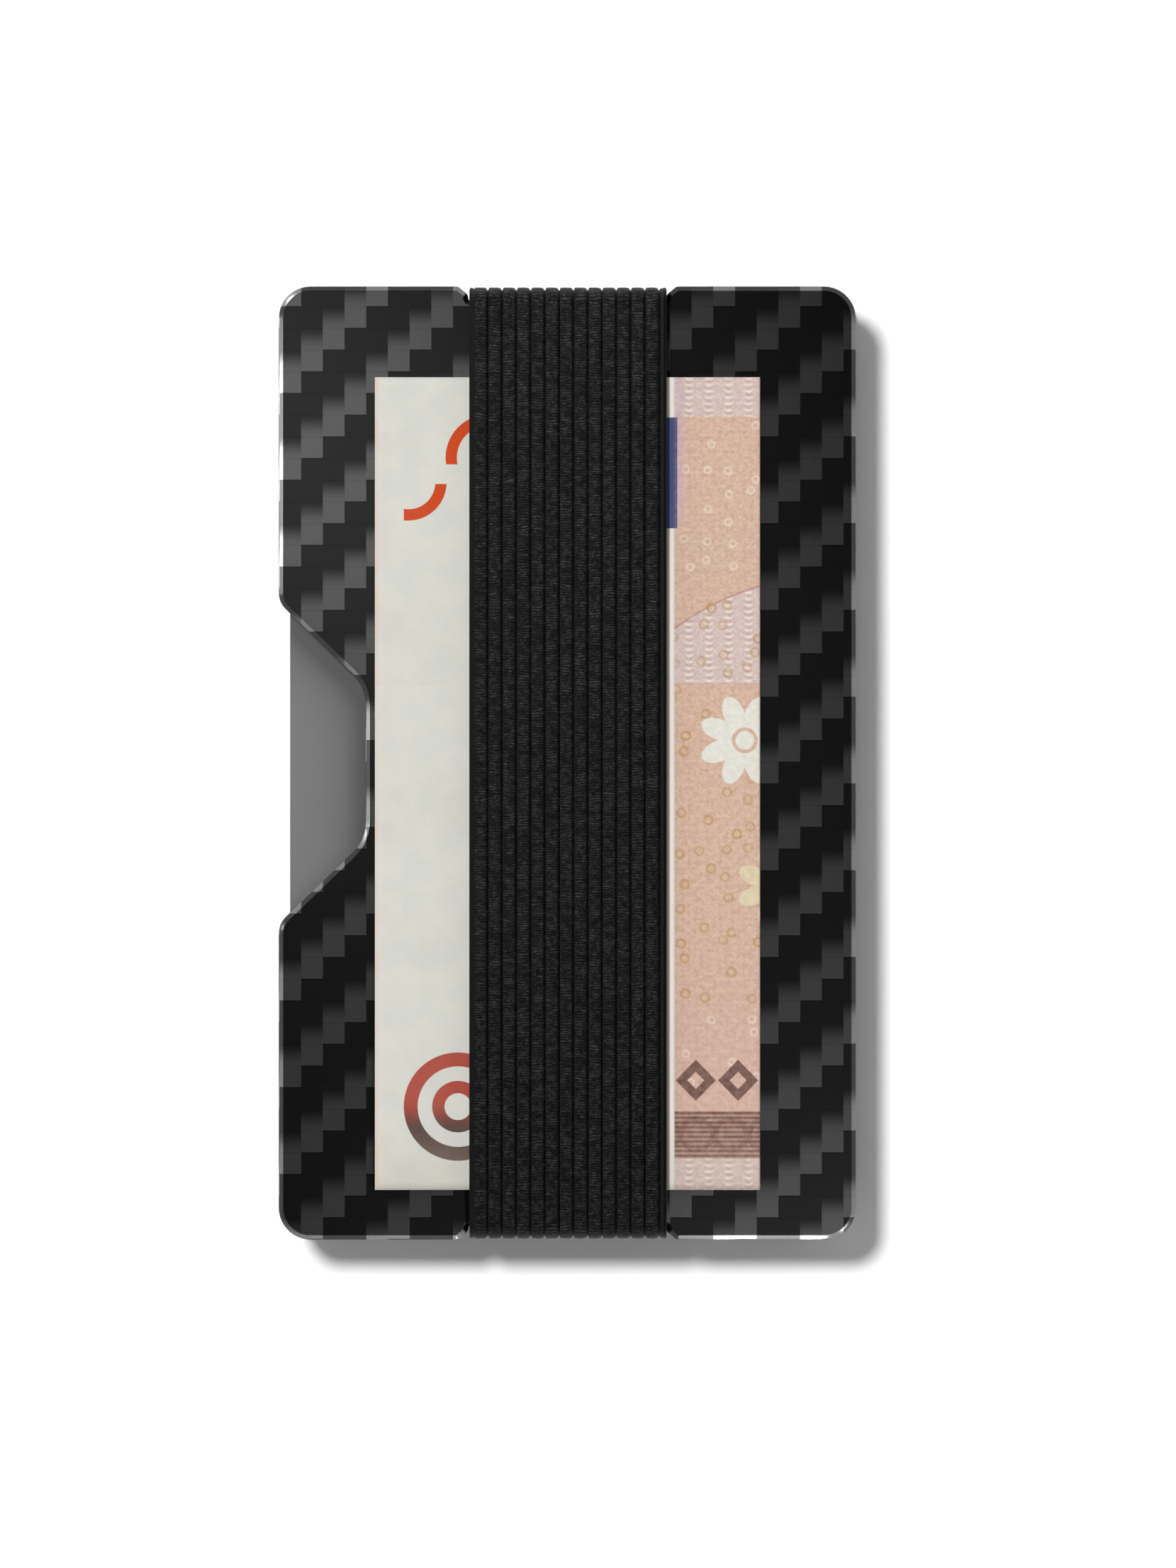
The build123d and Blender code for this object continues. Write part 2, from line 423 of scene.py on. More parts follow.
@dataclass(frozen=True)
class RibbedElastic(Finish):
    """Elastic webbing: lengthwise ribs wrapped in fine crosswise yarn."""

    name: str = "cash_band_yarn"
    half_width_mm: float = 9.5
    selvage_mm: float = 0.5
    rib_mm: float = 1.3846
    yarn_mm: float = 0.245
    dark: float = 0.001
    bright: float = 0.0165
    loop_mm: float = 0.17

    def make(self) -> bpy.types.Material:
        """Yarns of uneven height and sheen that sink into the groove beside each rib, with painted shade
        on each rib's right flank and in a dark line near its left edge, and a painted highlight along
        that edge.

        Returns:
            The finished material.
        """
        tree = ShaderTree(self.name)
        across, along = tree.unrolled_mm()
        inner_mm = self.half_width_mm - self.selvage_mm
        rib_at = (across + inner_mm) / self.rib_mm
        rib = rib_at.floor()
        phase = rib_at.fraction()
        selvage = abs(across) > inner_mm
        shifted = along + rib * 5.37
        drift = tree.noise(across * 0.7, shifted * 0.8, rib * 3.1)
        slope = tree.noise(rib * 4.3, shifted * 1.9, 7.0)
        kink = tree.noise(across * 2.6, shifted * 2.6, rib * 1.7)
        lean = (phase - 0.5) * (slope - 0.5) * 0.8
        course = (shifted + drift * 0.6 + lean + kink * 0.11) / self.yarn_mm
        yarn = 1 - abs(course.fraction() - 0.5) * 2
        strand = tree.noise(across * 3.6 + rib * 9.3, course * 0.9, 0.5, detail=2.0)
        patch = tree.noise(across * 1.2 + rib * 3.7, shifted * 1.7, 2.5).smooth(0.34, 0.68)
        fuzz = tree.noise(across * 13.0, along * 13.0, detail=1.0)
        lifted = strand.smooth(0.38, 0.66)
        # Partly painted light: the hollows between the crosswise yarns are painted darker and lifted
        # strands painted lighter, over the yarns' own uneven tone from patch and fuzz.
        body = (yarn.smooth(0.0, 0.95) * (0.25 + lifted * 0.75) + fuzz * 0.16) * (0.55 + patch * 1.05)
        # Painted shade: the right flank of each rib fades dark, as if turned away from the light; lifted
        # yarns bridge it a little.
        ends = 1 - phase.smooth(0.66, 0.90) * (1.0 - lifted * 0.25)
        # Painted shade: a dark line just inside each rib's left edge.
        painted_gap_shade = phase.inside(0.055, 0.095, 0.02)
        # Painted highlight: a thin bright line along the left edge of each rib.
        painted_ridge_highlight = (1 - phase.smooth(0.035, 0.06)) * 0.34
        knit = (body * ends * (1 - painted_gap_shade * 0.5)).most(painted_ridge_highlight)
        loops = 1 - abs((along / self.loop_mm).fraction() - 0.5) * 2
        hem_place = abs(across).inside(inner_mm + 0.06, self.half_width_mm - 0.16, 0.05)
        hem = loops.smooth(0.0, 0.8) * 0.42 * hem_place
        knit = knit + selvage * (hem + 0.03 - knit)
        return tree.finish({
            "Base Color": tree.grey(self.dark + (self.bright - self.dark) * knit),
            "Roughness": 0.5,
            "Specular IOR Level": 0.17,
            "Normal": tree.bump(knit, 0.05),
            "Sheen Weight": 0.02,
            "Sheen Roughness": 0.4,
        })


@dataclass(frozen=True)
class AnodisedAluminium(Finish):
    """Bead-blasted, black anodised aluminium with faint milling marks."""

    name: str = "anodised_aluminium"
    shade: float = 0.035

    def make(self) -> bpy.types.Material:
        """Fine blasted grain, cloudy dye and a faint cutter trace along the long side.

        Returns:
            The finished material.
        """
        tree = ShaderTree(self.name)
        x, y, z = tree.place_mm()
        blast = tree.noise(x * 14.0, y * 14.0, z * 14.0, detail=2.0)
        cloud = tree.noise(x * 0.22, y * 0.22, z * 0.6, detail=3.0)
        trace = (y * 21.0 + tree.noise(x * 0.4, y * 0.4) * 2.0).sine()
        shade = self.shade * (0.7 + cloud * 0.6) + blast * 0.012
        return tree.finish({
            "Base Color": tree.grey(shade),
            "Metallic": 0.9,
            "Roughness": 0.38 + blast * 0.22,
            "Normal": tree.bump(blast + trace * 0.06, 0.006),
        })


@dataclass(frozen=True)
class TurnedMetal(Finish):
    """A small turned part: rings of tool marks about the axis of the nearest screw place."""

    name: str
    colour: Colour
    roughness: float
    column_mm: float = 23.0
    row_mean_mm: float = 30.75
    row_half_gap_mm: float = 9.25

    def make(self) -> bpy.types.Material:
        """Tool marks in rings, and a little stain that dulls the colour and roughens the surface.

        Returns:
            The finished material.
        """
        tree = ShaderTree(self.name)
        x, y, z = tree.place_mm()
        from_axis_x = abs(x) - self.column_mm
        from_axis_y = abs(abs(y) - self.row_mean_mm) - self.row_half_gap_mm
        radius = tree.distance(from_axis_x, from_axis_y, (0.0, 0.0))
        marks = (radius * 90.0 + tree.noise(x * 3.0, y * 3.0) * 2.0).sine()
        stain = tree.noise(x * 1.6, y * 1.6, z * 1.6, detail=4.0)
        dull = tuple(0.45 * part for part in self.colour)
        shaded = tree.mix(stain.smooth(0.35, 0.7) * 0.45, self.colour, dull)
        return tree.finish({
            "Base Color": shaded,
            "Metallic": 1.0,
            "Roughness": self.roughness + stain * 0.18,
            "Normal": tree.bump(marks * 0.5 + stain, 0.004),
        })


@dataclass(frozen=True)
class SewingThread(Finish):
    """Bonded nylon thread: two twisted plies of fine filaments."""

    name: str = "sewing_thread"
    shade: float = 0.03

    def make(self) -> bpy.types.Material:
        """Filaments along each ply.

        Returns:
            The finished material.
        """
        tree = ShaderTree(self.name)
        around, along = tree.unrolled_mm()
        filament = ((around * 9.0 + along * 6.0) * math.tau).sine() * 0.5 + 0.5
        uneven = tree.noise(along * 1.4, around * 0.5, detail=3.0)
        return tree.finish({
            "Base Color": tree.grey(self.shade * (0.5 + filament * 0.5 + uneven)),
            "Roughness": 0.48,
            "Normal": tree.bump(filament, 0.008),
            "Sheen Weight": 0.15,
        })


class CardArt(Enum):
    """The generic designs printed on the cards."""

    PLAIN = "plain"
    WAVES = "waves"
    RINGS = "rings"
    FACETS = "facets"
    STRIPES = "stripes"


@dataclass(frozen=True)
class CardPrint(Finish):
    """A laminated plastic card: a printed face, a striped back and a pale core on its edge."""

    name: str
    art: CardArt
    ground: Colour
    accent: Colour
    low_mm: float
    high_mm: float
    stripe_mm: tuple[float, float] = (-23.0, -10.3)
    panel_mm: tuple[float, float] = (-7.5, 2.5)

    def pattern(self, tree: ShaderTree, x: Signal, y: Signal) -> Signal:
        """How much accent colour shows at a place on the face.

        Args:
            tree: the material's node tree.
            x, y: the place, in millimetres.

        Returns:
            The share of accent, from 0 to 1.
        """
        if self.art is CardArt.WAVES:
            bend = (y * 0.11).sine() * 5.0 + (y * 0.29 + 1.0).sine() * 1.3
            return (((x + bend) * 1.9).sine()).smooth(0.72, 0.95) * 0.6 + x.smooth(-27.0, 30.0) * 0.4
        if self.art is CardArt.RINGS:
            return (tree.distance(x, y, (30.0, -46.0)) / 5.2).fraction().inside(0.35, 0.5, 0.05) * 0.7
        if self.art is CardArt.FACETS:
            return tree.scatter(x / 13.0, y / 13.0)[1] * 0.5
        if self.art is CardArt.STRIPES:
            return ((x * 0.8 + y * 0.6) / 6.4).fraction().inside(0.55, 0.75, 0.03) * 0.6
        return tree.noise(x * 0.05, y * 0.05) * 0.12

    def make(self) -> bpy.types.Material:
        """Face, back and edge, chosen by which way the surface looks.

        Returns:
            The finished material.
        """
        tree = ShaderTree(self.name)
        x, y, z = tree.place_mm()
        up = tree.facing()[2]
        pearl = tree.noise(x * 11.0, y * 11.0, detail=1.0)
        face = tree.mix(self.pattern(tree, x, y), self.ground, self.accent)
        back = tree.mix(x.inside(*self.stripe_mm), self.ground, (0.006, 0.005, 0.005, 1.0))
        lines = (((x * 0.7 + y * 0.7) * 4.0).sine() * 0.5 + 0.5) * 0.25
        signed = y.inside(-35.0, 20.0) * x.inside(*self.panel_mm)
        back = tree.mix(signed, back, tree.mix(lines, (0.62, 0.62, 0.58, 1.0), self.accent))
        height = (z - self.low_mm) / (self.high_mm - self.low_mm)
        core = height.inside(0.14, 0.86, 0.03)
        rim = tree.mix(core * 0.9, self.ground, (0.60, 0.59, 0.56, 1.0))
        colour = tree.mix(up.smooth(-0.5, 0.5), back, face)
        colour = tree.mix(1 - abs(up).smooth(0.55, 0.8), colour, rim)
        scuffs = tree.noise(x * 0.9 + y * 4.0, y * 0.7, detail=4.0).smooth(0.55, 0.85)
        return tree.finish({
            "Base Color": colour,
            "Roughness": 0.34 + pearl * 0.10 + scuffs * 0.12,
            "Specular IOR Level": 0.4,
            "Normal": tree.bump(pearl, 0.002),
        })


@dataclass(frozen=True)
class ChipContacts(Finish):
    """Gold plated contact plate, divided by thin grooves into its pads."""

    name: str = "chip_contacts"
    centre_mm: tuple[float, float] = (2.99, 26.6)
    row_mm: float = 3.1
    middle_half_mm: float = 2.4
    groove_mm: float = 0.11
    gold: Colour = (0.83, 0.60, 0.27, 1.0)
    groove_shade: Colour = (0.10, 0.07, 0.03, 1.0)

    def make(self) -> bpy.types.Material:
        """Two columns of pads around a centre pad.

        Returns:
            The finished material.
        """
        tree = ShaderTree(self.name)
        x, y, _ = tree.place_mm()
        from_x = x - self.centre_mm[0]
        from_y = y - self.centre_mm[1]
        ends = abs(abs(from_y) - self.middle_half_mm) < self.groove_mm
        columns = abs((abs(from_x) % self.row_mm) - self.row_mm / 2) < self.groove_mm
        outside = abs(from_y) > self.middle_half_mm
        groove = ends.most(columns * outside)
        brushed = tree.noise(x * 30.0, y * 1.5, detail=1.0)
        return tree.finish({
            "Base Color": tree.mix(groove, self.gold, self.groove_shade),
            "Metallic": 1.0,
            "Roughness": 0.26 + brushed * 0.12,
            "Normal": tree.bump(brushed * 0.2 - groove, 0.02),
        })


@dataclass(frozen=True)
class PrintedPaper(Finish):
    """Note paper with a generic print: lace, rosettes, scattered rings and a chain of lozenges."""

    name: str = "note_print"
    left_mm: float = -18.65
    strength: float = 0.80
    print_from_mm: float = 10.35

    def tone(self, red: int, green: int, blue: int) -> Colour:
        """A print colour at this paper's strength."""
        return ink(red, green, blue, self.strength)

    def rosette(
        self, tree: ShaderTree, x: Signal, y: Signal, centre: tuple[float, float], size: float
    ) -> Signal:
        """A flower of eight petals.

        Args:
            tree: the material's node tree.
            x, y: the place, in millimetres.
            centre: the flower's centre.
            size: its outer radius, in millimetres.

        Returns:
            1 inside the flower.
        """
        radius = tree.distance(x, y, centre)
        angle = tree.math("ARCTAN2", y - centre[1], x - centre[0])
        petals = abs((angle * 4.0).sine()) * 0.42 + 0.58
        return (radius / (petals * size)).inside(-1.0, 1.0, 0.03)

    def left_marks(self, tree: ShaderTree, x: Signal, y: Signal, colour: Signal) -> Signal:
        """Two quarter rings near the top and a double ring near the bottom, by the free edge.

        Args:
            tree: the material's node tree.
            x, y: the place, in millimetres.
            colour: the paper's colour.

        Returns:
            The colour with the marks on it.
        """
        upper = tree.distance(x, y, (-7.6, 29.6)).inside(3.1, 4.2) * y.smooth(28.9, 29.0)
        lower = tree.distance(x, y, (-15.4, 27.2)).inside(2.6, 3.7) * (1 - y.smooth(27.0, 27.1))
        lower = lower * x.smooth(-15.9, -15.8)
        colour = tree.mix(upper.most(lower), colour, self.tone(208, 76, 36))
        radius = tree.distance(x, y, (-10.6, -33.3))
        rings = radius.inside(3.9, 5.25).most(radius.inside(1.3, 2.5))
        fade = y.smooth(-35.6, -32.6)
        warm = tree.mix(fade, self.tone(92, 74, 68), self.tone(176, 78, 66))
        return tree.mix(rings, colour, warm)

    def panel(self, tree: ShaderTree, x: Signal, y: Signal) -> Signal:
        """The printed part: rose ground, lace fields, scattered rings and two flowers.

        Args:
            tree: the material's node tree.
            x, y: the place, in millimetres.

        Returns:
            The print's colour.
        """
        dome = tree.distance(x, y, (26.0, -8.0))
        under_dome = (1 - dome.smooth(26.1, 26.3)) * y.smooth(7.66, 7.74)
        lace = under_dome.most(y.smooth(33.5, 33.7)).most(1 - y.smooth(-38.5, -38.3))
        columns = ((x + 0.2) * (math.tau / 1.92)).sine()
        chevrons = ((y * (math.tau / 0.61)) + columns * 1.4).sine()
        near_column = columns.smooth(-0.2, 0.9)
        fine = tree.noise(x * 3.6, y * 3.6, detail=4.0).smooth(0.3, 0.7)
        weave = (((x + y) * 5.2).sine() * ((x - y) * 5.2).sine()) * 0.5 + 0.5
        ground = tree.mix(fine * 0.65 + weave * 0.2, self.tone(226, 192, 168), self.tone(200, 163, 148))
        tint = tree.noise(x * 1.3, y * 1.3, 5.0, detail=2.0)
        ground = tree.mix(tint.smooth(0.5, 0.7) * 0.35, ground, self.tone(206, 180, 148))
        ground = tree.mix(y.inside(-42.0, -20.0, 9.0) * 0.35, ground, self.tone(212, 172, 166))
        lace_ground = tree.mix(fine, self.tone(224, 203, 190), self.tone(206, 184, 186))
        pale_chevron = chevrons.smooth(0.2, 0.9) * near_column * 0.75
        lace_ground = tree.mix(pale_chevron, lace_ground, self.tone(244, 236, 222))
        dark_chevron = (0 - chevrons).smooth(0.3, 1.0) * near_column * 0.5
        lace_ground = tree.mix(dark_chevron, lace_ground, self.tone(188, 150, 140))
        colour = tree.mix(lace, ground, lace_ground)
        dome_line = dome.inside(26.1, 26.3) * y.smooth(7.6, 7.8)
        colour = tree.mix(dome_line * 0.6, colour, self.tone(178, 120, 110))
        spot, chance = tree.scatter(x / 2.1, y / 2.1, 0.75)
        pale = spot.inside(0.10, 0.20, 0.03) * chance.smooth(0.50, 0.52)
        pale = pale * (1 - y.inside(-24.0, 16.0, 1.0)) * (1 - lace)
        colour = tree.mix(pale * 0.5, colour, self.tone(246, 228, 208))
        ring, luck = tree.scatter(x / 2.35 + 7.0, y / 2.35 + 3.0, 1.0)
        golden = ring.inside(0.12, 0.22, 0.03) * luck.smooth(0.30, 0.32) * y.inside(-24.0, 16.5, 0.4)
        colour = tree.mix(golden * (luck * 0.6 + 0.2), colour, self.tone(188, 148, 78))
        flower = self.rosette(tree, x, y, (17.2, 2.2), 4.5)
        flower = flower * (1 - tree.distance(x, y, (17.2, 2.2)).inside(0.9, 1.25))
        colour = tree.mix(flower, colour, self.tone(232, 230, 220))
        small = self.rosette(tree, x, y, (20.4, -11.9), 4.0)
        return tree.mix(small * 0.9, colour, self.tone(228, 214, 176))

    def bands(self, tree: ShaderTree, x: Signal, y: Signal, colour: Signal) -> Signal:
        """A chain of hollow lozenges over a lined block with linked circles.

        Args:
            tree: the material's node tree.
            x, y: the place, in millimetres.
            colour: the colour under them.

        Returns:
            The colour with the chain and the block on it.
        """
        step = ((x - 10.4) % 4.1) - 2.05
        lozenge = abs(step) / 1.95 + abs(y + 30.75) / 2.0
        chain = lozenge.inside(0.42, 1.0, 0.03)
        brown = tree.mix(tree.noise(x * 2.0, y * 6.0), self.tone(84, 52, 47), self.tone(116, 76, 68))
        colour = tree.mix(chain * 0.95, colour, brown)
        block = y.inside(-38.3, -33.75)
        lines = (y * (math.tau / 0.46)).sine().smooth(-0.3, 0.4)
        circle = tree.distance(((x - 10.9) % 3.3) - 1.65, y + 36.0, (0.0, 0.0)).inside(1.25, 1.75)
        shade = lines * 0.42 + 0.52 + circle * 0.2
        return tree.mix(block * shade, colour, self.tone(112, 68, 60))

    def make(self) -> bpy.types.Material:
        """Off-white cotton paper, the print from print_from_mm on, a soft handling crease with painted
        shade along it, painted shade and painted highlight of crumpling, and painted shade towards the
        bottom end.

        Returns:
            The finished material.
        """
        tree = ShaderTree(self.name)
        unrolled, y = tree.unrolled_mm()
        x = unrolled + self.left_mm
        cloud = tree.noise(x * 0.35, y * 0.35, detail=4.0)
        fibre = tree.noise(x * 9.0, y * 5.0, detail=3.0)
        paper = tree.mix(cloud.smooth(0.3, 0.7), self.tone(221, 220, 211), self.tone(214, 215, 208))
        blush = tree.noise(x * 0.9, y * 0.35, 4.0, detail=3.0).smooth(0.35, 0.65)
        near_edge = 1 - x.smooth(-18.6, -17.4)
        paper = tree.mix(near_edge * (0.2 + blush * 0.5), paper, self.tone(226, 204, 192))
        paper = self.left_marks(tree, x, y, paper)
        printed = self.bands(tree, x, y, self.panel(tree, x, y))
        edge = x.smooth(self.print_from_mm - 0.1, self.print_from_mm + 0.15)
        colour = tree.mix(edge, paper, printed)
        lilac = x.inside(10.5, 11.3, 0.3) * y.smooth(22.0, 24.0) * 0.5
        colour = tree.mix(lilac, colour, self.tone(206, 176, 196))
        bar = x.inside(9.0, 10.66) * y.inside(22.75, 33.5)
        strip = x.inside(9.5, 10.32, 0.12) * (1 - bar)
        colour = tree.mix(strip, colour, self.tone(240, 234, 228))
        colour = tree.mix(bar, colour, self.tone(74, 82, 124))
        # Painted shade along the handling crease at y = 7.7 mm, stronger on the printed part.
        painted_crease_shade = (1 - abs(y - 7.7).smooth(0.0, 0.14)) * (0.05 + edge * 0.13)
        colour = tree.mix(painted_crease_shade, colour, self.tone(168, 140, 128))
        dirt_and_painted_shade = tree.noise(x * 0.12, y * 0.12, 3.0, detail=5.0).smooth(0.45, 0.8) * 0.10
        # Painted shade: the note is darker towards its bottom end, on top of the random grime above.
        dirt_and_painted_shade = dirt_and_painted_shade + (1 - y.smooth(-41.5, -34.0)) * 0.22
        colour = tree.mix(dirt_and_painted_shade, colour, self.tone(180, 168, 150))
        # Painted shade and painted highlight of crumpling: the same noise darkens some places and
        # lightens the rest of the printed part.
        painted_crumple_shading = tree.noise(x * 1.7 + fibre * 0.5, y * 1.7, 9.0, detail=4.0).smooth(0.3, 0.7)
        colour = tree.mix(painted_crumple_shading * (0.02 + edge * 0.10), colour, self.tone(150, 120, 110))
        colour = tree.mix((1 - painted_crumple_shading) * edge * 0.10, colour, self.tone(250, 240, 225))
        return tree.finish({
            "Base Color": colour,
            "Roughness": 0.82,
            "Specular IOR Level": 0.2,
            "Normal": tree.bump(fibre * 0.6 + cloud, 0.012),
        })


@dataclass(frozen=True)
class StudioFloor(Finish):
    """The pale, matt sheet that the wallet lies on."""

    name: str = "studio_floor"
    shade: float = 0.92

    def make(self) -> bpy.types.Material:
        """Nearly white, with the faintest mottling.

        Returns:
            The finished material.
        """
        tree = ShaderTree(self.name)
        x, y, _ = tree.place_mm()
        mottle = tree.noise(x * 0.02, y * 0.02)
        return tree.finish({
            "Base Color": tree.grey(self.shade + mottle * 0.03),
            "Roughness": 0.9,
            "Specular IOR Level": 0.1,
        })


# ------------------------------------------------------------------------------ mesh tools


def rounded_loop(corners: Sequence[tuple[float, float, float]], step: float) -> np.ndarray:
    """Samples of a closed outline of straight runs and tangent arcs.

    Args:
        corners: (a, b, radius) of each corner in order; a radius of 0 is a plain point.
        step: the longest distance between samples on a run.

    Returns:
        Rows of (a, b), from the first corner on, without repeating it at the end.
    """
    points = [np.array(corner[:2]) for corner in corners]
    knots: list[np.ndarray] = []
    for i, corner in enumerate(corners):
        point, radius = points[i], corner[2]
        back = points[i - 1] - point
        ahead = points[(i + 1) % len(points)] - point
        back, ahead = back / np.linalg.norm(back), ahead / np.linalg.norm(ahead)
        if radius == 0:
            knots.append(point[None])
            continue
        half_turn = (math.pi - math.acos(np.clip(back @ ahead, -1, 1))) / 2
        inward = (back + ahead) / np.linalg.norm(back + ahead)
        centre = point + inward * radius / math.cos(half_turn)
        count = max(3, math.ceil(2 * half_turn / math.radians(9)))
        side = (ahead - back) / np.linalg.norm(ahead - back)
        angles = np.linspace(-half_turn, half_turn, count + 1)[:, None]
        knots.append(centre - inward * radius * np.cos(angles) + side * radius * np.sin(angles))
    samples: list[np.ndarray] = []
    for i, knot in enumerate(knots):
        start, end = knot[-1], knots[(i + 1) % len(knots)][0]
        count = max(1, math.ceil(np.linalg.norm(end - start) / step))
        between = start + (end - start) * (np.arange(1, count) / count)[:, None]
        samples += [knot, between]
    return np.concatenate(samples)


def along_loop(points: np.ndarray) -> tuple[np.ndarray, np.ndarray]:
    """Outward directions and running lengths of a closed counter-clockwise outline.

    Args:
        points: rows of (a, b).

    Returns:
        The unit normals, and the running length at each point with the whole length at the end.
    """
    tangent = np.roll(points, -1, 0) - np.roll(points, 1, 0)
    tangent /= np.linalg.norm(tangent, axis=1, keepdims=True)
    steps = np.linalg.norm(np.roll(points, -1, 0) - points, axis=1)
    return np.stack([tangent[:, 1], -tangent[:, 0]], 1), np.concatenate([[0.0], np.cumsum(steps)])


def smooth_step(value: np.ndarray, low: float, high: float) -> np.ndarray:
    """0 up to low, 1 from high, and a smooth step between them."""
    share = np.clip((value - low) / (high - low), 0, 1)
    return share * share * (3 - 2 * share)


def make_mesh(
    name: str, points: np.ndarray, faces: list[tuple[int, ...]], uvs: np.ndarray
) -> bpy.types.Object:
    """A smooth-shaded mesh object with an unrolled UV map.

    Args:
        name: the piece's name.
        points: rows of (x, y, z).
        faces: the corners of each face.
        uvs: one (across, along) row for each corner of each face, in millimetres.

    Returns:
        The object, linked to the scene.
    """
    mesh = bpy.data.meshes.new(name)
    mesh.from_pydata(points.tolist(), [], faces)
    layer = mesh.uv_layers.new(name="unrolled")
    layer.data.foreach_set("uv", np.asarray(uvs, np.float32).ravel())
    mesh.polygons.foreach_set("use_smooth", [True] * len(faces))
    mesh.update()
    made = bpy.data.objects.new(name, mesh)
    bpy.context.scene.collection.objects.link(made)
    return made


def wrapped_grid(name: str, grid: np.ndarray, across: np.ndarray, along: np.ndarray) -> bpy.types.Object:
    """A closed tube-like mesh from a grid that wraps both ways.

    Args:
        name: the piece's name.
        grid: points as rows along the piece, columns around it.
        across: the UV of each column, in millimetres.
        along: the UV of each row, in millimetres, with one more value for the closing row.

    Returns:
        The object.
    """
    rows, columns = grid.shape[:2]
    faces, uvs = [], []
    for i in range(rows):
        next_i = (i + 1) % rows
        for j in range(columns):
            next_j = (j + 1) % columns
            here, ahead = i * columns, next_i * columns
            faces.append((here + j, here + next_j, ahead + next_j, ahead + j))
            uvs += [
                (across[j], along[i]),
                (across[next_j], along[i]),
                (across[next_j], along[i + 1]),
                (across[j], along[i + 1]),
            ]
    return make_mesh(name, grid.reshape(-1, 3), faces, np.array(uvs))


def cad_object(node: str) -> bpy.types.Object:
    """The object that carries a CAD node, or the piece of that name."""
    return bpy.data.objects[node]


def dress(node: str, finish: Finish) -> bpy.types.Object:
    """Give a CAD node a finish in place of its plain material.

    Args:
        node: the node's name.
        finish: what it is dressed in.

    Returns:
        The node's object.
    """
    carried = cad_object(node)
    for material_slot in carried.material_slots:
        material_slot.material = finish.material()
    return carried


def soften_edges(carried: bpy.types.Object, width: float) -> None:
    """Break a CAD node's sharp edges, as tumbling or polishing does.

    Args:
        carried: the node's object.
        width: how wide the broken edge is.
    """
    weld = carried.modifiers.new("weld", "WELD")
    weld.merge_threshold = 0.002 * MM
    flat = carried.modifiers.new("flat", "DECIMATE")
    flat.decimate_type = "DISSOLVE"
    flat.angle_limit = math.radians(0.5)
    bevel = carried.modifiers.new("bevel", "BEVEL")
    bevel.width = width
    bevel.segments = 2
    bevel.limit_method = "ANGLE"
    bevel.angle_limit = math.radians(30)
    shading = carried.modifiers.new("shading", "WEIGHTED_NORMAL")
    shading.keep_sharp = False


# ------------------------------------------------------------------------------ the wallet


BAND_THICKNESS = 1.2 * MM
BAND_GAP = 0.04 * MM
# Where the cash band climbs onto the note and comes down again, along Y.
RAMP_ENDS = (44.2 * MM, 37.7 * MM, -41.6 * MM, -44.2 * MM)


@dataclass
class Shell:
    """One stiff shell: a laminate plate on a track plate, held by screws in bonded inserts."""

    side: str
    plate_edge: float = 0.05 * MM
    track_edge: float = 0.08 * MM
    screw_edge: float = 0.03 * MM

    def build(self) -> None:
        """Dress the shell's four nodes."""
        steel = TurnedMetal("screw_steel", (0.50, 0.50, 0.52, 1.0), 0.28)
        brass = TurnedMetal("insert_brass", (0.72, 0.52, 0.24, 1.0), 0.32)
        soften_edges(dress(f"{self.side}_plate", CarbonTwill()), self.plate_edge)
        soften_edges(dress(f"{self.side}_track_plate", AnodisedAluminium()), self.track_edge)
        soften_edges(dress(f"{self.side}_screws", steel), self.screw_edge)
        dress(f"{self.side}_inserts", brass)
        LOG.info("%s shell dressed", self.side)


